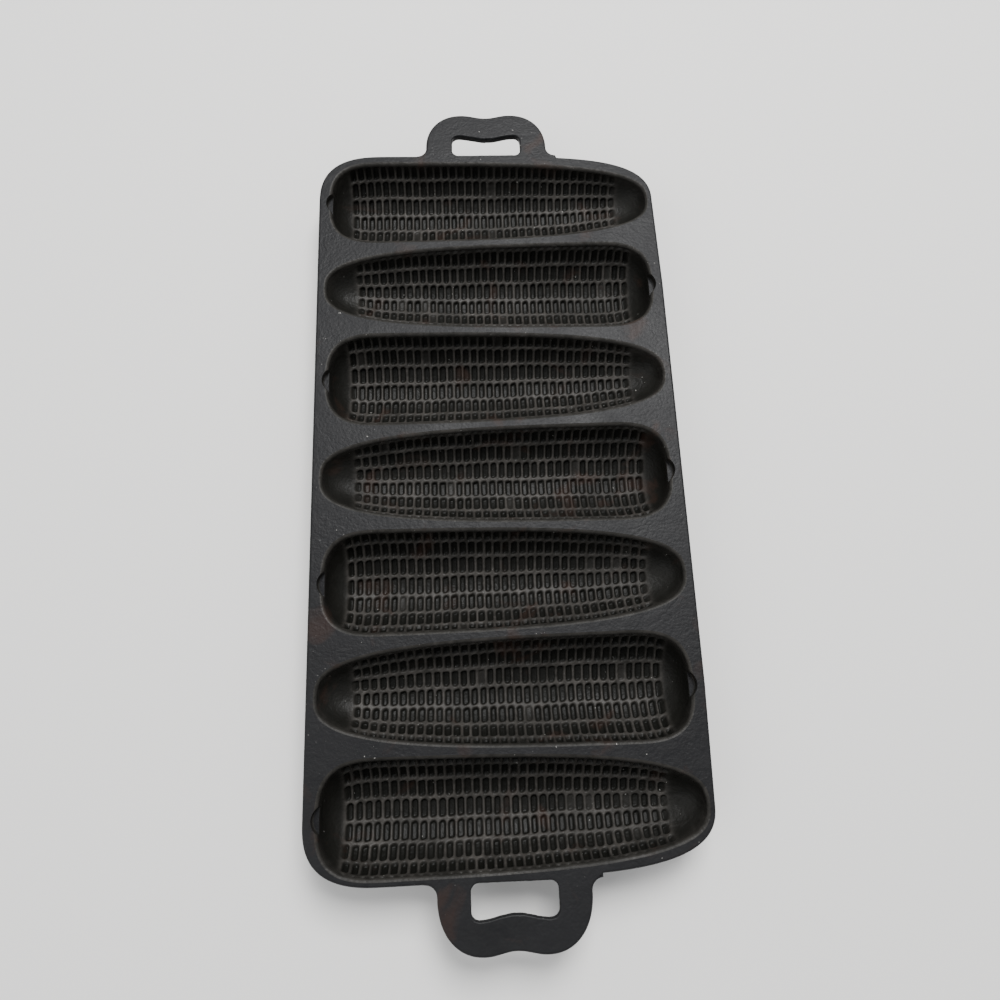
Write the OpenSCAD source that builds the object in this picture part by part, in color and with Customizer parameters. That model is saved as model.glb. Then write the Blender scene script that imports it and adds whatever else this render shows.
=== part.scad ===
// Corn stick pan of cast iron: a flat deck with seven half-ear moulds hung beneath it
// and a slotted lug handle at each end. Millimetres, +Z up.
// The origin is on the surface the pan stands on, under the middle of the pan.
// +Y runs to the far handle and +X to the right.

/* [Deck] */
// Width of the deck, across the corn sticks' length
deck_w = 145.2; // [140:0.2:160]
// Thickness of the deck and of the handles
deck_t = 3; // [2:0.1:5]
// Height of the pan from the table to the top of the deck
pan_h = 22.2; // [21:0.1:32]
// Deck beyond the middle of the farthest stick
far_margin = 23.4; // [21:0.1:28]
// Deck beyond the middle of the nearest stick
near_margin = 21.9; // [21:0.1:28]
// How far the deck's corners at the sticks' tips lie inside its side edges
tip_corner_inset = 0.9; // [0:0.1:1.4]

/* [Corn sticks] */
// Distance between the middles of neighbouring sticks
stick_pitch = 41.3; // [40:0.1:46]
// Width of a stick's mouth at its belly
stick_w = 37.8; // [30:0.1:38]
// From the pan's middle line to a stick's blunt end
blunt_reach = 67.2; // [60:0.1:68]
// From the pan's middle line to a stick's tip
tip_reach = 68.6; // [62:0.1:69]
// From the pan's middle line to the widest section, towards the blunt end
belly_offset = 45; // [30:0.5:50]
// Depth of a mould to the ridges between its kernels
ridge_depth = 17.5; // [14:0.1:18]
// Thickness of a mould's side walls
wall = 2.8; // [2.4:0.1:5]
// Thickness of a mould's wall beyond the tip
tip_wall = 2.2; // [1.5:0.1:2.8]
// How much of the round belly is ground away to stand on
foot_cut = 1.2; // [0.9:0.1:2]

/* [Kernels] */
// Kernel rows round half an ear
row_count = 8; // [6:1:10]
// Turn of the rows away from a ridge at the very bottom, in degrees
row_turn = -8; // [-11:0.5:11]
// Kernels in a row
kernels_per_row = 35; // [16:1:40]
// Depth of a kernel below its ridges
kernel_depth = 1.3; // [0.5:0.1:2]
// Smooth length between the blunt end and the first kernel
blunt_smooth = 6.7; // [4:0.1:12]
// Smooth length between the last kernel and the tip
tip_smooth = 11.1; // [6:0.1:20]

/* [Stem notch] */
// Radius of the half-round notch that the ear's stem leaves
notch_r = 5.2; // [3:0.1:8]
// How far the notch reaches past the blunt end
notch_reach = 2.4; // [1:0.1:2.6]

/* [Handles] */
// From the middle of the pan to the outer end of either handle
handle_reach = 168.6; // [164:0.1:180]
// Width of a handle at its widest
handle_w = 53; // [44:0.5:70]
// Distance between the two lobes on a handle's outer edge
lobe_gap = 21; // [10:0.5:30]
// Depth of the dip between the lobes
lobe_dip = 1.5; // [0:0.1:3]
// Radius of the fillet from the deck's edge to the handle's side
flare_r = 4; // [2:0.1:6]

/* [Finger slots] */
// Width of the slot through each handle
slot_w = 30; // [20:0.5:36]
// Iron left between the slot and the handle's outer edge
slot_rim = 11; // [8:0.1:14]
// How far the slot's outer edge bows towards the deck
slot_bow = 1.8; // [0:0.1:3]
// Radius of the slot's corners
slot_corner = 2.8; // [1:0.1:4]

/* [Hidden] */
NODES = [
    "deck", "cob_cup_1", "cob_cup_2", "cob_cup_3", "cob_cup_4", "cob_cup_5", "cob_cup_6", "cob_cup_7",
    "handle_far", "handle_near"
];

// One node for each corn stick mould
stick_count = len(NODES) - 3;

IRON = [0.2, 0.2, 0.21];
CUP_IRON = [0.15, 0.15, 0.16];

// Places, worked out from the sizes above
belly_x = -belly_offset;
end_stick_y = (stick_count - 1) / 2 * stick_pitch;
far_edge = end_stick_y + far_margin;
near_edge = end_stick_y + near_margin;
deck_under = pan_h - deck_t;

// An ear's outline is blunt at its stem and drawn out at its tip
BLUNT_POWER = 3;
TIP_POWER = 3.4;
TIP_ROUNDING = 0.35;
DECK_BLUNT_POWER = 2.7;
DECK_TIP_POWER = 6;
DECK_TIP_ROUNDING = 0.4;
EAR_TAPER = 0.045;
OUTLINE_STEPS = 36;
CUT = 1;

// Half the width of an ear at x. Its blunt end is at -blunt and its tip at tip.
function blunt_share(x, blunt, power) =
    pow(max(0, 1 - pow((belly_x - x) / (belly_x + blunt), power)), 1 / power);
function tip_share(x, tip, power, rounding) =
    let (s = (x - belly_x) / (tip - belly_x))
    (1 - EAR_TAPER * s) * pow(max(0, 1 - pow(s, power)), rounding);
function cavity_half(x) =
    stick_w / 2 * (x < belly_x ? blunt_share(x, blunt_reach, BLUNT_POWER)
                               : tip_share(x, tip_reach, TIP_POWER, TIP_ROUNDING));
function deck_half(x, margin, blunt, tip) =
    margin * (x < belly_x ? blunt_share(x, blunt, DECK_BLUNT_POWER)
                          : tip_share(x, tip, DECK_TIP_POWER, DECK_TIP_ROUNDING));

// Places along an ear from a to b, closer together near b, which is an end of the outline
function eased(a, b, steps) = [for (i = [0:steps]) a + (b - a) * sin(90 * i / steps)];
function reversed(list) = [for (i = [len(list) - 1:-1:0]) list[i]];

// The deck

function deck_end(margin, middle_y) =
    let (
        blunt = deck_w / 2,
        tip = deck_w / 2 - tip_corner_inset,
        xs = concat(reversed(eased(belly_x, tip, OUTLINE_STEPS)), eased(belly_x, -blunt, OUTLINE_STEPS))
    )
    [for (i = [0:len(xs) - 1]) if (i != OUTLINE_STEPS) [xs[i], middle_y + deck_half(xs[i], margin, blunt, tip)]];

module deck_outline() {
    far = deck_end(far_margin, end_stick_y);
    near = deck_end(near_margin, end_stick_y);
    right_side = [[deck_w / 2, -end_stick_y + near_margin], [deck_w / 2, end_stick_y - far_margin]];
    polygon(concat(far, [for (p = reversed(near)) [p[0], -p[1]]], right_side));
}

module cavity_outline() {
    tip_side = eased(belly_x, tip_reach, OUTLINE_STEPS);
    blunt_side = eased(belly_x, -blunt_reach, OUTLINE_STEPS);
    upper = concat(reversed(tip_side), [for (i = [1:OUTLINE_STEPS]) blunt_side[i]]);
    lower = [for (i = [len(upper) - 2:-1:1]) upper[i]];
    polygon(concat([for (x = upper) [x, cavity_half(x)]], [for (x = lower) [x, -cavity_half(x)]]));
}

// Puts its children at stick i, counted from the far end. Every second stick points the other way.
module at_stick(i) {
    translate([0, end_stick_y - (i - 1) * stick_pitch, 0]) rotate([0, 0, i % 2 == 1 ? 0 : 180]) children();
}

module deck() color(IRON) difference() {
    translate([0, 0, deck_under]) linear_extrude(deck_t) deck_outline();
    for (i = [1:stick_count]) at_stick(i) {
        translate([0, 0, deck_under - CUT]) linear_extrude(deck_t + 2 * CUT) cavity_outline();
        translate([notch_r - blunt_reach - notch_reach, 0, deck_under - CUT])
            cylinder(r = notch_r, h = deck_t + 2 * CUT, $fn = 48);
    }
}

// The moulds. A section across the ear is an arc, with a ridge wherever two kernel rows meet.

BLUNT_RINGS = 6;
TIP_RINGS = 5;
OUTER_ANGLES = [for (a = [-90:15:90]) a];

cup_depth = ridge_depth - deck_t;
depth_ratio = cup_depth / (stick_w / 2);
arc_ratio = (1 + depth_ratio * depth_ratio) / (2 * depth_ratio);
rim_angle = 2 * atan(depth_ratio);
row_angle = 180 / row_count;
LEAST_ROW = 0.35;
ring_angles = concat(
    [-rim_angle],
    [for (k = [-row_count:row_count])
        let (a = row_turn + k * row_angle) if (abs(a) < rim_angle - LEAST_ROW * row_angle) a],
    [rim_angle]
);
last_angle = len(ring_angles) - 1;

kernel_from = -blunt_reach + blunt_smooth;
kernel_to = tip_reach - tip_smooth;
kernel_pitch = (kernel_to - kernel_from) / kernels_per_row;
function end_turn(x, reach) = asin((x - belly_x) / (reach - belly_x));
blunt_turn = end_turn(kernel_from, -blunt_reach);
tip_turn = end_turn(kernel_to, tip_reach);

// Stations along the ear: the smooth blunt end, a rib between each two kernels, and the smooth tip
stations = concat(
    [for (i = [0:BLUNT_RINGS - 1])
        belly_x - (belly_x + blunt_reach) * sin(90 - (90 - blunt_turn) * i / BLUNT_RINGS)],
    [for (i = [0:kernels_per_row]) kernel_from + i * kernel_pitch],
    [for (i = [1:TIP_RINGS])
        belly_x + (tip_reach - belly_x) * sin(tip_turn + (90 - tip_turn) * i / TIP_RINGS)]
);
last = len(stations) - 1;

// A point of the mould's inner face. sink is how far it lies below the ridges.
function inner_point(x, angle, sink) =
    let (half = cavity_half(x), r = half * arc_ratio, rise = r - half * depth_ratio)
    [x, (r + sink) * sin(angle), rise - (r + sink) * cos(angle)];

// The outer face has the same shape on a larger ear. Neighbours meet halfway between two sticks.
function outer_x(x) =
    x < belly_x ? belly_x + (x - belly_x) * (belly_x + blunt_reach + wall) / (belly_x + blunt_reach)
                : belly_x + (x - belly_x) * (tip_reach + tip_wall - belly_x) / (tip_reach - belly_x);
function outer_point(x, angle) =
    let (
        share = cavity_half(x) / (stick_w / 2),
        y = share * (stick_w / 2 + wall) * sin(angle),
        z = -share * (deck_under + foot_cut) * cos(angle)
    )
    [outer_x(x), sign(y) * min(abs(y), stick_pitch / 2), max(z, -deck_under)];

// Every second station is enough for the outer face
outer_picks = concat([for (k = [0:2:last - 1]) k], [last]);
last_pick = len(outer_picks) - 1;
last_outer_angle = len(OUTER_ANGLES) - 1;

inner_points = concat(
    [[stations[0], 0, 0]],
    [for (i = [1:last - 1]) for (a = ring_angles) inner_point(stations[i], a, 0)],
    [[stations[last], 0, 0]]
);
pit_points = [
    for (k = [0:kernels_per_row - 1]) for (j = [0:last_angle - 1])
        inner_point(kernel_from + (k + 0.5) * kernel_pitch, (ring_angles[j] + ring_angles[j + 1]) / 2, kernel_depth)
];
outer_points = concat(
    [[outer_x(stations[0]), 0, 0]],
    [for (i = [1:last_pick - 1]) for (a = OUTER_ANGLES) outer_point(stations[outer_picks[i]], a)],
    [[outer_x(stations[last]), 0, 0]]
);

// Place of each point in the list: i counts stations and j counts angles
pit_base = len(inner_points);
outer_base = pit_base + len(pit_points);
function inner_at(i, j) = i == 0 ? 0 : i == last ? pit_base - 1 : 1 + (i - 1) * (last_angle + 1) + j;
function pit_at(k, j) = pit_base + k * last_angle + j;
function outer_at(i, j) =
    outer_base + (i == 0 ? 0 : i == last_pick ? len(outer_points) - 1 : 1 + (i - 1) * (last_outer_angle + 1) + j);

// Two triangles for a cell between stations, or one where the cell ends in a point
function cell(a, b, c, d) = a == b ? [[a, c, d]] : c == d ? [[a, b, c]] : [[a, b, c], [a, c, d]];
function is_kernel(i) = i >= BLUNT_RINGS && i < BLUNT_RINGS + kernels_per_row;

inner_faces = [
    for (i = [0:last - 1]) for (j = [0:last_angle - 1])
        let (
            a = inner_at(i, j),
            b = inner_at(i, j + 1),
            c = inner_at(i + 1, j + 1),
            d = inner_at(i + 1, j),
            pit = is_kernel(i) ? pit_at(i - BLUNT_RINGS, j) : 0
        )
        each is_kernel(i) ? [[a, b, pit], [b, c, pit], [c, d, pit], [d, a, pit]] : cell(a, b, c, d)
];
outer_faces = [
    for (i = [0:last_pick - 1]) for (j = [0:last_outer_angle - 1])
        each cell(outer_at(i, j + 1), outer_at(i, j), outer_at(i + 1, j), outer_at(i + 1, j + 1))
];

// The flat rim that meets the deck, as a strip of triangles between the inner and the outer edge
function rim_side(j_in, j_out) = [
    for (i = [0:last_pick - 1])
        let (p = outer_picks[i], gap = outer_picks[i + 1] - p)
        each concat(
            [[inner_at(p, j_in), inner_at(p + 1, j_in), outer_at(i, j_out)]],
            [[outer_at(i, j_out), inner_at(p + 1, j_in), outer_at(i + 1, j_out)]],
            gap == 2 ? [[inner_at(p + 1, j_in), inner_at(p + 2, j_in), outer_at(i + 1, j_out)]] : []
        )
];
function flipped(faces) = [for (f = faces) [f[0], f[2], f[1]]];

module cob_cup(i) color(CUP_IRON) translate([0, 0, deck_under]) at_stick(i)
    polyhedron(
        points = concat(inner_points, pit_points, outer_points),
        faces = concat(
            inner_faces,
            outer_faces,
            rim_side(0, 0),
            flipped(rim_side(last_angle, last_outer_angle))
        ),
        convexity = 10
    );

// The handles

HANDLE_POWER = 2.2;
HANDLE_STEPS = 16;
FLARE_STEPS = 8;

// Right half of a handle's outer edge, from the middle of the dip to the fillet on the deck's edge
function handle_side(edge) =
    let (
        lobe_x = lobe_gap / 2,
        side_x = handle_w / 2,
        shoulder_y = edge + flare_r,
        rise = handle_reach - shoulder_y
    )
    concat(
        [for (i = [0:HANDLE_STEPS])
            let (s = i / HANDLE_STEPS)
            [lobe_x * s, handle_reach - lobe_dip * (0.5 + 0.5 * cos(180 * s))]],
        [for (i = [1:HANDLE_STEPS])
            let (turn = 90 * i / HANDLE_STEPS)
            [
                lobe_x + (side_x - lobe_x) * pow(sin(turn), 2 / HANDLE_POWER),
                shoulder_y + rise * pow(max(0, cos(turn)), 2 / HANDLE_POWER)
            ]],
        [for (i = [1:FLARE_STEPS])
            let (turn = 90 * i / FLARE_STEPS)
            [side_x + flare_r * (1 - cos(turn)), shoulder_y - flare_r * sin(turn)]]
    );

// Right half of a slot's edge, from the middle of its outer side to the middle of its inner side
function slot_side(edge) =
    let (x = slot_w / 2 - slot_corner, top = handle_reach - slot_rim, low = edge - CUT / 4)
    concat(
        [for (i = [0:HANDLE_STEPS])
            let (s = i / HANDLE_STEPS)
            [x * s, top - slot_bow * (0.5 + 0.5 * cos(180 * s))]],
        [for (i = [1:FLARE_STEPS])
            let (turn = 90 * i / FLARE_STEPS)
            [x + slot_corner * sin(turn), top - slot_corner * (1 - cos(turn))]],
        [for (i = [0:FLARE_STEPS])
            let (turn = 90 * i / FLARE_STEPS)
            [x + slot_corner * cos(turn), low + slot_corner * (1 - sin(turn))]]
    );
function both_sides(side) = concat(side, [for (p = reversed(side)) if (p[0] > 0) [-p[0], p[1]]]);

// A handle at the far end of the pan, whose deck ends at edge
module lug(edge) {
    root = [[handle_w / 2 + flare_r, edge - 2 * flare_r]];
    translate([0, 0, deck_under]) linear_extrude(deck_t) difference() {
        polygon(both_sides(concat(handle_side(edge), root)));
        polygon(both_sides(slot_side(edge)));
    }
}
module deck_prism() translate([0, 0, deck_under - CUT]) linear_extrude(deck_t + 2 * CUT) deck_outline();

module handle_far() color(IRON) difference() {
    lug(far_edge);
    deck_prism();
}
module handle_near() color(IRON) difference() {
    rotate([0, 0, 180]) lug(near_edge);
    deck_prism();
}

deck();
cob_cup(1);  // cob_cup_1
cob_cup(2);  // cob_cup_2
cob_cup(3);  // cob_cup_3
cob_cup(4);  // cob_cup_4
cob_cup(5);  // cob_cup_5
cob_cup(6);  // cob_cup_6
cob_cup(7);  // cob_cup_7
handle_far();
handle_near();
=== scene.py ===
import math
from collections import namedtuple

import bpy
import numpy as np
from mathutils import Matrix, Vector
from mathutils.geometry import tessellate_polygon


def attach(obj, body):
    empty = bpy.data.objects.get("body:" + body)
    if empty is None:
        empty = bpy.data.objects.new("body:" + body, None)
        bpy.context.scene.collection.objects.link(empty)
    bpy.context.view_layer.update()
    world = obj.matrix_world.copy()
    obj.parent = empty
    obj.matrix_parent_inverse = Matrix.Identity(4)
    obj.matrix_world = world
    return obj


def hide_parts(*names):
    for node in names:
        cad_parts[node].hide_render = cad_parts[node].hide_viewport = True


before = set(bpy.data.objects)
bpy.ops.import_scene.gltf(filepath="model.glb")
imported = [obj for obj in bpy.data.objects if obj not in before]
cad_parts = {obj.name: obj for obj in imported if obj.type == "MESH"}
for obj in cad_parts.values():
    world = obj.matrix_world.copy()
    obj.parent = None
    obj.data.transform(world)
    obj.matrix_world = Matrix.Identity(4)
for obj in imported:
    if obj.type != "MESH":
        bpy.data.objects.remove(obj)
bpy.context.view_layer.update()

MM = 0.001

# Outlines of an ear, as reach from the pan's middle line to either end, and the powers that shape the ends
Ear = namedtuple("Ear", "blunt tip blunt_power tip_power rounding")
CAVITY = Ear(67.2, 68.6, 3.0, 3.4, 0.35)
SHELL = Ear(70.0, 70.8, 3.0, 3.4, 0.35)
DECK_END = Ear(72.6, 71.7, 2.7, 6.0, 0.4)
BELLY_X = -45.0
EAR_TAPER = 0.045

# The plate: the deck and the two handles
PAN_H = 22.2
DECK_UNDER = 19.2
STICKS = 7
MIDDLE_STICK = (STICKS + 1) / 2
PITCH = 41.3
END_Y = (STICKS - 1) / 2 * PITCH
FAR_EDGE = END_Y + 23.4
NEAR_EDGE = END_Y + 21.9
OUTLINE_STEP = 0.6

# Radii of rounded edges, at the top face and at the underside
DECK_ROUND = (0.9, 0.5)
SLOT_ROUND = (0.6, 0.4)

# Handles
HANDLE_REACH = 168.6
HANDLE_POWER = 2.2
LOBE_X = 10.5
LOBE_DIP = 1.5
SIDE_X = 26.5
FLARE_R = 4.0
ROOT_X = SIDE_X + FLARE_R

# Finger slots
SLOT_HALF_W = 15.0
SLOT_TOP = 157.6
SLOT_BOW = 1.8
SLOT_CORNER = 2.8
SLOT_STEP = 0.5
SLOT_RAGGED = 0.035

# The inside of a mould, a half body of revolution about a line just above the deck
RIDGE_R = 19.1
CENTRE_RISE = 1.7
LIP_R = 1.2
STATION_STEP = 0.36

# Its columns of points are closer together in the last degrees below each rim
RIM_BAND = 6.0
RIM_COLUMNS = 12
MIDDLE_COLUMNS = 146

# A slow unevenness of the casting
WOBBLE = 0.10

# The outside of a mould, cut flat where it stands and where it meets the next one
SHELL_HALF_W = 21.7
SHELL_DEPTH = 20.4
UNDER_HOLE_HALF_W = 20.4

# Kernels, in rows along the ear. Angles are in degrees from straight down.
ROW_TURN = -8.0
ROW_PITCH = 22.5
KERNEL_PITCH = 3.37
FIRST_KERNEL_X = -60.5
LAST_KERNEL_X = 59.0
KERNELS_PER_ROW = 35
KERNEL_DEPTH = 1.4
RIDGE_HALF = 0.4
RIB_HALF = 0.3
PIT_CORNER = 1.15
PIT_EDGE = 0.08
PIT_SLOPE = 0.75
LEAST_PIT_HALF = 0.2
LEAST_ROW_R = 0.5

# How far below the deck the pattern begins
PATTERN_TOP = 1.0

# Rows are numbered from zero well outside the mould, so that the random tables cover them all
ROW_OFFSET = 6.0
ROW_TABLE = 14

# Small differences between rows, in shares of a row's width or of a kernel's length
ROW_SCALLOP = 0.022
ROW_DRIFT = 0.02
ROW_SLIDE = 0.16

# Small differences between kernels: depth as a share of the full depth, and length in millimetres
DEPTH_SPREAD = (0.82, 1.1)
FAINT_SHARE = 0.025
FAINT_DEPTH = 0.45
LENGTH_SPREAD = (-0.12, 0.1)

# The notch for the stem
NOTCH_X = -64.4
NOTCH_R = 5.2
NOTCH_DEPTH = 3.0

# How worn each kind of face is, from 0 in a pit to 1 on a ridge. The same value paints a highlight on
# ridges and lips and a painted shade in pits; low values, as on the undersides, keep the dark pit colour
PLATE_WEAR_AND_SHEEN = 0.8
RIM_WEAR_AND_SHEEN = 0.75
SMOOTH_END_WEAR_AND_SHEEN = 0.35
UNDERSIDE_WEAR_AND_SHEEN = 0.3


def smooth(t):
    """An even blend from 0 to 1 that starts and ends gently."""
    t = np.clip(t, 0.0, 1.0)
    return t * t * (3.0 - 2.0 * t)


def rise(value, start, length):
    """Goes from 0 to 1 as value goes up from start."""
    return smooth((value - start) / length)


def fall(value, end, length):
    """Goes from 1 to 0 as value goes up to end."""
    return smooth((end - value) / length)


def ear_share(x, ear):
    """Half the width of an ear at x, as a share of its greatest half width."""
    back = np.clip((BELLY_X - x) / (BELLY_X + ear.blunt), 0.0, 1.0)
    front = np.clip((x - BELLY_X) / (ear.tip - BELLY_X), 0.0, 1.0)
    blunt_share = (1.0 - back ** ear.blunt_power) ** (1.0 / ear.blunt_power)
    tip_share = (1.0 - EAR_TAPER * front) * (1.0 - front ** ear.tip_power) ** ear.rounding
    return np.where(x < BELLY_X, blunt_share, tip_share)


def ear_places(ear, count):
    """Places along an ear from its blunt end to its tip, closest together at the ends."""
    t = np.linspace(0.0, math.pi, count)
    x = 0.5 * (ear.tip - ear.blunt) - 0.5 * (ear.tip + ear.blunt) * np.cos(t)
    return np.clip(x, -ear.blunt, ear.tip)


class Shape:
    """Gathers the vertices, the faces and the wear of one piece, a value that also sets painted highlight
    and painted shade.
    """

    def __init__(self):
        self.points = []
        self.faces = []
        self.wear_and_sheen = []

    def add(self, points, faces, wear_and_sheen):
        base = len(self.points)
        self.points.extend(points)
        self.faces.extend([tuple(base + i for i in face) for face in faces])
        if np.isscalar(wear_and_sheen):
            wear_and_sheen = [wear_and_sheen] * len(points)
        self.wear_and_sheen.extend(wear_and_sheen)

    def add_grid(self, grid, wear_and_sheen, flip=False):
        """A curved face through a grid of points. flip turns it to face the other way."""
        rows, columns = grid.shape[:2]
        index = np.arange(rows * columns).reshape(rows, columns)
        corners = [index[:-1, :-1], index[1:, :-1], index[1:, 1:], index[:-1, 1:]]
        if flip:
            corners.reverse()
        quads = np.stack([corner.ravel() for corner in corners], axis=1)
        self.add(grid.reshape(-1, 3).tolist(), quads.tolist(), wear_and_sheen)

    def add_flat(self, loops, z, up, wear_and_sheen):
        """A flat face with holes. The first loop is the outside."""
        corners = [[Vector((p[0], p[1], 0.0)) for p in loop] for loop in loops]
        points = [(p[0], p[1], z) for loop in loops for p in loop]
        faces = []
        for a, b, c in tessellate_polygon(corners):
            area = ((points[b][0] - points[a][0]) * (points[c][1] - points[a][1])
                    - (points[b][1] - points[a][1]) * (points[c][0] - points[a][0]))
            faces.append((a, b, c) if (area > 0) == up else (a, c, b))
        self.add(points, faces, wear_and_sheen)

    def build(self, node, material, slot):
        """Makes the piece that stands for a CAD node."""
        mesh = bpy.data.meshes.new(node + "_casting")
        mesh.from_pydata((np.array(self.points) * MM).tolist(), [], self.faces)
        mesh.shade_smooth()
        worn_and_sheen = mesh.attributes.new("wear_and_sheen", "FLOAT", "POINT")
        worn_and_sheen.data.foreach_set("value", np.array(self.wear_and_sheen, np.float32))
        mesh.materials.append(material)
        piece = bpy.data.objects.new(node + "_casting", mesh)
        bpy.context.scene.collection.objects.link(piece)
        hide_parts(node)
        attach(piece, "root")


def cavity_stations():
    """Places along a mould at even steps of its outline."""
    x = ear_places(CAVITY, 40001)
    half_width = RIDGE_R * ear_share(x, CAVITY)
    run = np.concatenate([[0.0], np.cumsum(np.hypot(np.diff(x), np.diff(half_width)))])
    count = int(run[-1] / STATION_STEP)
    return np.interp(np.linspace(0.0, run[-1], count), run, x)


def pits(x, angle, radius, rng):
    """Depth of the kernels below the ridges between them."""
    row = (angle - ROW_TURN) / ROW_PITCH + ROW_OFFSET
    scallop = ROW_SCALLOP * np.sin(2.0 * math.pi * x / KERNEL_PITCH)
    row = row + scallop + ROW_DRIFT * np.sin(x * 0.21 + 1.3)
    row_index = np.floor(row).astype(int)
    slide = rng.uniform(-ROW_SLIDE, ROW_SLIDE, ROW_TABLE)[row_index]
    along = (x - FIRST_KERNEL_X) / KERNEL_PITCH + slide
    kernel = np.floor(along).astype(int)
    inside = (kernel >= 0) & (kernel < KERNELS_PER_ROW)
    kernel = np.clip(kernel, 0, KERNELS_PER_ROW - 1)
    table = (ROW_TABLE, KERNELS_PER_ROW)
    deepness = rng.uniform(*DEPTH_SPREAD, table)
    deepness[rng.random(table) < FAINT_SHARE] = FAINT_DEPTH
    extra_length = rng.uniform(*LENGTH_SPREAD, table)[row_index, kernel]

    # Distance past the edge of the kernel's rounded rectangle, negative inside it
    row_width = math.radians(ROW_PITCH) * radius
    half_across = np.maximum(0.5 * row_width - RIDGE_HALF, LEAST_PIT_HALF)
    half_along = 0.5 * KERNEL_PITCH - RIB_HALF + extra_length
    corner = np.minimum(PIT_CORNER, half_across)
    across = np.abs(row - row_index - 0.5) * row_width - half_across + corner
    along = np.abs(along - np.floor(along) - 0.5) * KERNEL_PITCH - half_along + corner
    beyond = np.hypot(np.maximum(across, 0), np.maximum(along, 0))
    edge = beyond + np.minimum(np.maximum(across, along), 0) - corner

    depth = fall(edge, PIT_EDGE, PIT_SLOPE) * deepness[row_index, kernel]
    fade = rise(x, FIRST_KERNEL_X - 1.0, 3.0) * fall(x, LAST_KERNEL_X, 5.0)
    return KERNEL_DEPTH * depth * inside * fade


def mould_inside(rng):
    """The inner face of a mould in its own frame, its wear with painted highlight on the ridges and painted
    shade in the pits, and the rim where the flat deck begins.
    """
    stations = cavity_stations()
    share = ear_share(stations, CAVITY)
    slope = np.gradient(RIDGE_R * share, stations)[:, None]
    share = share[:, None]
    rim_angle = math.degrees(math.acos(CENTRE_RISE / RIDGE_R)) - RIM_BAND
    middle = np.linspace(-rim_angle, rim_angle, MIDDLE_COLUMNS)
    rim = rim_angle + np.linspace(RIM_BAND / RIM_COLUMNS, RIM_BAND, RIM_COLUMNS)
    x, angle = np.meshgrid(stations, np.concatenate([-rim[::-1], middle, rim]), indexing="ij")
    turn = np.radians(angle)
    radius = RIDGE_R * share

    below = radius * np.cos(turn) - CENTRE_RISE * share
    pit = pits(x, angle, np.maximum(radius, LEAST_ROW_R), rng) * rise(below, PATTERN_TOP, 1.6)
    wobble = WOBBLE * np.sin(x * 0.31 + 2.0 * turn) * np.sin(turn * 3.0 + x * 0.13)
    reach = radius + pit + wobble * np.minimum(share * 2.0, 1.0) * rise(below, PATTERN_TOP, 2.0)
    u = reach * np.sin(turn)
    z = CENTRE_RISE * share - reach * np.cos(turn)

    # The wall rolls outwards into the deck
    low = np.clip(-z / LIP_R, 0.0, 1.0)
    lip = LIP_R * (1.0 - np.sqrt(1.0 - (1.0 - low) ** 2))
    lean = np.sqrt(1.0 + slope ** 2)
    px = x - lip * slope / lean
    u = u + lip * np.sin(turn) / lean

    # Above its ledge, the stem's notch pushes the blunt end out to a round edge
    notch = NOTCH_X - np.sqrt(np.maximum(NOTCH_R ** 2 - u ** 2, 0.0))
    open_share = rise(z, -NOTCH_DEPTH - 0.5, 0.7) * (np.abs(u) < NOTCH_R) * (px < NOTCH_X)
    px = px + open_share * (np.minimum(px, notch) - px)

    # One value for wear and painted light: near 1 on ridges and the rim's lip, which get the worn colour as
    # real wear and a painted highlight, near 0 deep in a pit, which keeps the dark pit colour as a painted
    # shade
    in_kernels = rise(x, FIRST_KERNEL_X - 1.5, 2.5) * fall(x, LAST_KERNEL_X + 0.5, 4.0)
    deep = rise(below, PATTERN_TOP, 5.0)
    worn_and_sheen = (1.0 - pit / KERNEL_DEPTH) * in_kernels + (1.0 - in_kernels) * SMOOTH_END_WEAR_AND_SHEEN
    worn_and_sheen = worn_and_sheen * deep + (1.0 - deep) * RIM_WEAR_AND_SHEEN
    grid = np.stack([px, u, z + PAN_H], axis=2)
    rim_loop = np.concatenate([grid[:, -1, :2], grid[::-1, 0, :2][1:-1]])
    return grid, worn_and_sheen, rim_loop


def mould_outside():
    """The outer face of a mould in its own frame."""
    x = ear_places(SHELL, 150)[:, None]
    share = ear_share(x, SHELL)
    turn = np.radians(np.linspace(-90.0, 90.0, 64))
    u = np.clip(SHELL_HALF_W * share * np.sin(turn), -PITCH / 2, PITCH / 2)
    z = np.maximum(DECK_UNDER - SHELL_DEPTH * share * np.cos(turn), 0.0)
    return np.stack([np.broadcast_to(x, u.shape), u, z], axis=2)


def under_hole():
    """The edge of a mould's hole in the deck's underside, which lies inside the mould's wall."""
    x = ear_places(CAVITY, 120)
    half = UNDER_HOLE_HALF_W * ear_share(x, CAVITY)
    far_side = np.stack([x, half], axis=1)
    near_side = np.stack([x, -half], axis=1)
    return np.concatenate([far_side, near_side[::-1][1:-1]])


def placed(points, stick):
    """Moves points from a mould's own frame to its place in the pan. Every second mould is turned round."""
    way = -1.0 if stick % 2 == 0 else 1.0
    out = np.array(points, float)
    out[..., 0] *= way
    out[..., 1] = out[..., 1] * way + (MIDDLE_STICK - stick) * PITCH
    return out


def even(points, step):
    """The same path with its points at even distances."""
    points = np.array(points, float)
    run = np.concatenate([[0.0], np.cumsum(np.hypot(*np.diff(points, axis=0).T))])
    count = max(2, int(round(run[-1] / step)) + 1)
    at = np.linspace(0.0, run[-1], count)
    return np.stack([np.interp(at, run, points[:, 0]), np.interp(at, run, points[:, 1])], axis=1)


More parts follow.
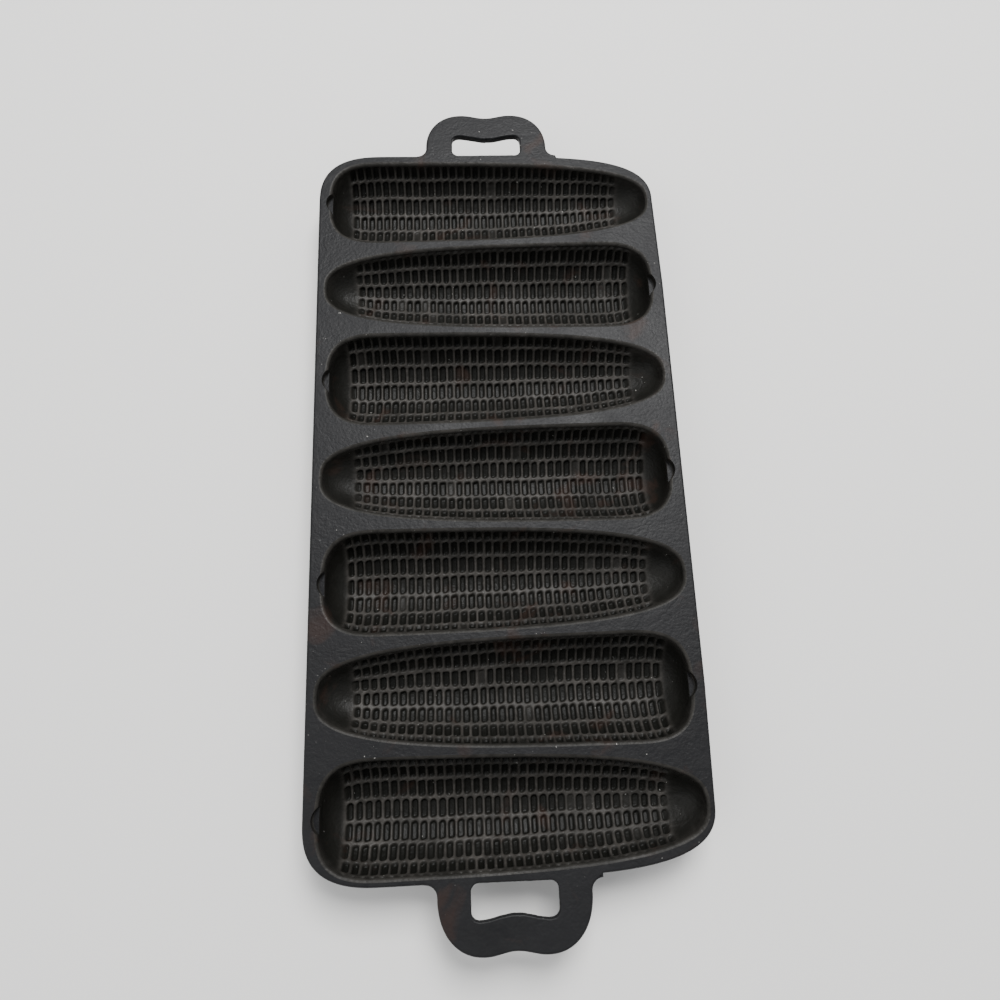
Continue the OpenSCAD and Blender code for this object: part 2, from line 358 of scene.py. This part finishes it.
def normals(loop):
    """Outward directions of a closed loop that runs anticlockwise, inward for one that runs clockwise."""
    along = np.roll(loop, -1, axis=0) - np.roll(loop, 1, axis=0)
    side = np.stack([along[:, 1], -along[:, 0]], axis=1)
    return side / np.maximum(np.hypot(side[:, 0], side[:, 1]), 1e-9)[:, None]


def dipped(half_width, top, dip, count):
    """Right half of an edge that runs across the pan and dips at its middle."""
    s = np.linspace(0.0, 1.0, count)
    return np.stack([half_width * s, top - dip * (0.5 + 0.5 * np.cos(math.pi * s))], axis=1)


def quarter_turn(count):
    """Angles from 0 to a right angle."""
    return np.linspace(0.0, math.pi / 2, count)


def handle_side(edge):
    """Right half of a handle's outer edge, from its middle to the deck's edge."""
    shoulder = edge + FLARE_R
    turn = quarter_turn(80)[1:]
    lobe = np.stack([
        LOBE_X + (SIDE_X - LOBE_X) * np.sin(turn) ** (2 / HANDLE_POWER),
        shoulder + (HANDLE_REACH - shoulder) * np.maximum(np.cos(turn), 0.0) ** (2 / HANDLE_POWER),
    ], axis=1)
    turn = quarter_turn(14)[1:]
    flare = np.stack([SIDE_X + FLARE_R * (1 - np.cos(turn)), shoulder - FLARE_R * np.sin(turn)], axis=1)
    return np.concatenate([dipped(LOBE_X, HANDLE_REACH, LOBE_DIP, 40), lobe, flare])


def slot_loop(edge, seed):
    """A finger slot's edge, slightly ragged from the casting."""
    x = SLOT_HALF_W - SLOT_CORNER
    r = SLOT_CORNER
    turn = quarter_turn(12)
    upper = np.stack([x + r * np.sin(turn[1:]), SLOT_TOP - r * (1 - np.cos(turn[1:]))], axis=1)
    lower = np.stack([x + r * np.cos(turn), edge + r * (1 - np.sin(turn))], axis=1)
    half = np.concatenate([dipped(x, SLOT_TOP, SLOT_BOW, 30), upper, lower, [[0.0, edge]]])
    full = np.concatenate([half, (half[::-1] * [-1, 1])[1:-1]])
    loop = even(np.concatenate([full, full[:1]]), SLOT_STEP)[:-1]

    # Random steps in and out, averaged over a few points so that they run into each other
    rng = np.random.default_rng(seed)
    ragged = np.convolve(rng.normal(0.0, SLOT_RAGGED, len(loop) + 4), np.ones(5) / 2.2, "valid")
    return loop + normals(loop) * ragged[:, None]


DECK, FAR, NEAR = range(3)
PLATE_NODES = ("deck", "handle_far", "handle_near")


def outline():
    """The pan's whole outline, anticlockwise, with the piece that each point belongs to."""
    t = np.linspace(0.0, 1.0, 300)
    tip_x = DECK_END.tip - (DECK_END.tip - ROOT_X) * t ** 2
    blunt_x = -ROOT_X - (DECK_END.blunt - ROOT_X) * (1.0 - (1.0 - t) ** 3)
    half_w = DECK_END.blunt

    def deck_edge(x, edge):
        return np.stack([x, END_Y + (edge - END_Y) * ear_share(x, DECK_END)], axis=1)

    def handle_edge(edge):
        side = handle_side(edge)
        return np.concatenate([side[::-1], (side * [-1, 1])[1:]])

    def near(run):
        return run[::-1] * [1.0, -1.0]

    runs = [
        (DECK, [(half_w, -2 * PITCH), (half_w, 2 * PITCH), (DECK_END.tip, END_Y)]),
        (DECK, deck_edge(tip_x, FAR_EDGE)),
        (FAR, handle_edge(FAR_EDGE)),
        (DECK, deck_edge(blunt_x, FAR_EDGE)),
        (DECK, [(-half_w, END_Y), (-half_w, -END_Y)]),
        (DECK, near(deck_edge(blunt_x, NEAR_EDGE))),
        (NEAR, near(handle_edge(NEAR_EDGE))),
        (DECK, near(deck_edge(tip_x, NEAR_EDGE))),
    ]
    loop = []
    owner = []
    for who, run in runs:
        run = even(run, OUTLINE_STEP)
        if who == DECK:
            run = run[:-1]
        loop.append(run)
        owner.extend([who] * len(run))
    return np.concatenate(loop), np.array(owner)


def plate_wall(loop, top_r, bottom_r):
    """The plate's rounded edge along a loop: a column of points at each point, from the top face down."""
    out = normals(loop)
    turns = quarter_turn(6)
    profile = [(top_r * (1 - math.sin(a)), PAN_H - top_r * (1 - math.cos(a))) for a in turns]
    profile += [(bottom_r * (1 - math.cos(a)), DECK_UNDER + bottom_r * (1 - math.sin(a))) for a in turns]
    levels = [np.column_stack([loop - out * inset, np.full(len(loop), z)]) for inset, z in profile]
    return np.stack(levels, axis=1)


def add_faces(shape, outside, holes_above, holes_below):
    """The plate's top face and underside inside a wall's columns."""
    shape.add_flat([outside[:, 0, :2]] + holes_above, PAN_H, True, PLATE_WEAR_AND_SHEEN)
    shape.add_flat([outside[:, -1, :2]] + holes_below, DECK_UNDER, False, UNDERSIDE_WEAR_AND_SHEEN)


def node_math(tree, operation, a, b):
    """A Math node between two values, each a number or another node's output."""
    node = tree.nodes.new("ShaderNodeMath")
    node.operation = operation
    for socket, value in zip(node.inputs, (a, b)):
        if isinstance(value, (int, float)):
            socket.default_value = value
        else:
            tree.links.new(value, socket)
    return node.outputs[0]


def noise_value(tree, place, scale, detail, low, high, distortion=0.0):
    """Noise spread over 0 to 1 between two of its levels."""
    noise = tree.nodes.new("ShaderNodeTexNoise")
    noise.inputs["Scale"].default_value = scale
    noise.inputs["Detail"].default_value = detail
    noise.inputs["Distortion"].default_value = distortion
    tree.links.new(place, noise.inputs["Vector"])
    spread = tree.nodes.new("ShaderNodeMapRange")
    spread.inputs["From Min"].default_value = low
    spread.inputs["From Max"].default_value = high
    tree.links.new(noise.outputs["Fac"], spread.inputs["Value"])
    return spread.outputs["Result"]


# A Mix node's sockets for its share, its two colours and the mixed colour
MIX_SHARE, MIX_A, MIX_B = 0, 6, 7
MIX_RESULT = 2


def mix_colour(tree, share, a, b):
    """Goes from a to b by share. Either is a colour or another node's output."""
    node = tree.nodes.new("ShaderNodeMix")
    node.data_type = "RGBA"
    tree.links.new(share, node.inputs[MIX_SHARE])
    for socket, value in ((node.inputs[MIX_A], a), (node.inputs[MIX_B], b)):
        if isinstance(value, tuple):
            socket.default_value = (*value, 1.0)
        else:
            tree.links.new(value, socket)
    return node.outputs[MIX_RESULT]


RUST_BROWN = (0.040, 0.020, 0.014)
SPECK_GREY = (0.32, 0.31, 0.29)


def seasoned_iron(name, pit_shade_colour, face_colour, worn_highlight_colour, grain):
    """Cast iron under baked-on oil: painted shade in the pits, worn on the ridges with a painted highlight,
    with brown patches and specks.
    """
    material = bpy.data.materials.new(name)
    material.use_nodes = True
    tree = material.node_tree
    shader = tree.nodes["Principled BSDF"]
    place = tree.nodes.new("ShaderNodeTexCoord").outputs["Object"]
    sheen_wear_node = tree.nodes.new("ShaderNodeAttribute")
    sheen_wear_node.attribute_name = "wear_and_sheen"
    wear_and_sheen = sheen_wear_node.outputs["Fac"]

    def times(a, b):
        return node_math(tree, "MULTIPLY", a, b)

    def plus(a, b):
        return node_math(tree, "ADD", a, b)

    cloud = noise_value(tree, place, scale=38.0, detail=5.0, low=0.3, high=0.7, distortion=0.6)
    patch = noise_value(tree, place, scale=55.0, detail=4.0, low=0.60, high=0.72, distortion=0.8)
    fine = noise_value(tree, place, scale=900.0, detail=4.0, low=0.25, high=0.75)
    speck = noise_value(tree, place, scale=700.0, detail=2.0, low=0.755, high=0.79)
    scuff = noise_value(tree, place, scale=160.0, detail=6.0, low=0.35, high=0.7, distortion=1.5)

    # Painted highlight and shade: the worn colour, real wear and a painted highlight, goes on ridges and
    # lips; the pit colour, a painted shade, stays in the pits
    highlight_wear_share = times(node_math(tree, "POWER", wear_and_sheen, 2.2), plus(times(scuff, 0.55), 0.4))
    colour = mix_colour(tree, highlight_wear_share, pit_shade_colour, worn_highlight_colour)
    colour = mix_colour(tree, times(cloud, 0.45), colour, face_colour)
    colour = mix_colour(tree, times(patch, 0.35), colour, RUST_BROWN)
    colour = mix_colour(tree, times(speck, 0.7), colour, SPECK_GREY)
    tree.links.new(colour, shader.inputs["Base Color"])

    roughness = plus(plus(times(cloud, 0.12), times(fine, 0.10)), 0.33)
    tree.links.new(roughness, shader.inputs["Roughness"])
    shader.inputs["Specular IOR Level"].default_value = 0.13

    bump = tree.nodes.new("ShaderNodeBump")
    bump.inputs["Strength"].default_value = grain
    bump.inputs["Distance"].default_value = 0.25 * MM
    tree.links.new(plus(times(fine, 0.5), times(scuff, 0.5)), bump.inputs["Height"])
    tree.links.new(bump.outputs["Normal"], shader.inputs["Normal"])
    return material


deck_iron = seasoned_iron(
    "deck_iron",
    pit_shade_colour=(0.008, 0.008, 0.009),
    face_colour=(0.014, 0.014, 0.015),
    worn_highlight_colour=(0.016, 0.016, 0.016),
    grain=0.55,
)
# The moulds' iron is the deck's iron with painted light: darker pit and face colours paint shade inside the
# cavities, and a much lighter worn colour paints a highlight on the kernel ridges
mould_iron = seasoned_iron(
    "mould_iron",
    pit_shade_colour=(0.005, 0.005, 0.004),
    face_colour=(0.008, 0.008, 0.007),
    worn_highlight_colour=(0.060, 0.055, 0.050),
    grain=0.7,
)

# The moulds, and their holes in the deck
MOULD_SEED = 40
SLOT_SEED = 7
moulds = []
top_holes = []
under_holes = []
for stick in range(1, STICKS + 1):
    grid, worn_and_sheen, rim = mould_inside(np.random.default_rng(MOULD_SEED + stick))
    top_holes.append(placed(rim, stick))
    under_holes.append(placed(under_hole(), stick))
    mould = Shape()
    mould.add_grid(placed(grid, stick), worn_and_sheen.ravel().tolist())
    mould.add_grid(placed(mould_outside(), stick), UNDERSIDE_WEAR_AND_SHEEN, flip=True)
    moulds.append(mould)

# The deck and the handles, each with its own stretch of the outline's rounded edge
loop, owner = outline()
wall = plate_wall(loop, *DECK_ROUND)
plates = [Shape() for _ in PLATE_NODES]
for start, who in enumerate(owner):
    stop = (start + 1) % len(loop)
    plates[who].add_grid(wall[[start, stop]], PLATE_WEAR_AND_SHEEN, flip=True)

add_faces(plates[DECK], wall[owner == DECK], top_holes, under_holes)

for who, edge, way in ((FAR, FAR_EDGE, 1.0), (NEAR, NEAR_EDGE, -1.0)):
    slot = plate_wall(slot_loop(edge, SLOT_SEED + who) * way, *SLOT_ROUND)
    plates[who].add_grid(np.concatenate([slot, slot[:1]]), PLATE_WEAR_AND_SHEEN)
    own = np.flatnonzero(owner == who)
    own = np.concatenate([[own[0] - 1], own, [own[-1] + 1]])
    add_faces(plates[who], wall[own], [slot[:, 0, :2]], [slot[:, -1, :2]])

for plate, node in zip(plates, PLATE_NODES):
    plate.build(node, deck_iron, "seasoned_iron")
for stick, mould in enumerate(moulds, start=1):
    mould.build(f"cob_cup_{stick}", mould_iron, "mould_iron")

# Floor
FLOOR_HALF = 4.0
floor_mesh = bpy.data.meshes.new("floor")
floor_corners = [(x * FLOOR_HALF, y * FLOOR_HALF, 0.0) for x, y in ((-1, -1), (1, -1), (1, 1), (-1, 1))]
floor_mesh.from_pydata(floor_corners, [], [(0, 1, 2, 3)])
floor = bpy.data.objects.new("floor", floor_mesh)
bpy.context.scene.collection.objects.link(floor)
paper = bpy.data.materials.new("paper")
paper.use_nodes = True
paper_shader = paper.node_tree.nodes["Principled BSDF"]
paper_shader.inputs["Base Color"].default_value = (0.83, 0.82, 0.80, 1.0)
paper_shader.inputs["Roughness"].default_value = 0.9
floor_mesh.materials.append(paper)

# Light
world = bpy.data.worlds.new("soft_room")
bpy.context.scene.world = world
world.use_nodes = True
room = world.node_tree.nodes["Background"]
room.inputs["Color"].default_value = (0.95, 0.97, 1.0, 1.0)
room.inputs["Strength"].default_value = 0.6


def area_light(name, place, size, power):
    """A square lamp that faces the pan."""
    lamp = bpy.data.lights.new(name, "AREA")
    lamp.shape = "SQUARE"
    lamp.size = size
    lamp.energy = power
    holder = bpy.data.objects.new(name, lamp)
    bpy.context.scene.collection.objects.link(holder)
    aim = Vector((0.0, 0.0, 0.01)) - Vector(place)
    holder.matrix_world = Matrix.Translation(place) @ aim.to_track_quat("-Z", "Y").to_matrix().to_4x4()


area_light("overhead", place=(0.15, 0.55, 1.1), size=0.6, power=24.0)
area_light("fill", place=(-0.9, -0.4, 0.9), size=0.9, power=4.0)

# Camera: its axes are the first three columns, and its place is the last
CAMERA_POSE = Matrix((
    (0.99878, 0.02792, -0.04076, -0.01223),
    (-0.03786, 0.96256, -0.26843, -0.09180),
    (0.03174, 0.26965, 0.96244, 0.31247),
    (0.0, 0.0, 0.0, 1.0),
))
camera_data = bpy.data.cameras.new("camera")
camera_data.lens = 28.08
camera_data.sensor_width = 36.0
camera_data.clip_start = 0.01
camera = bpy.data.objects.new("camera", camera_data)
bpy.context.scene.collection.objects.link(camera)
camera.matrix_world = CAMERA_POSE
bpy.context.scene.camera = camera
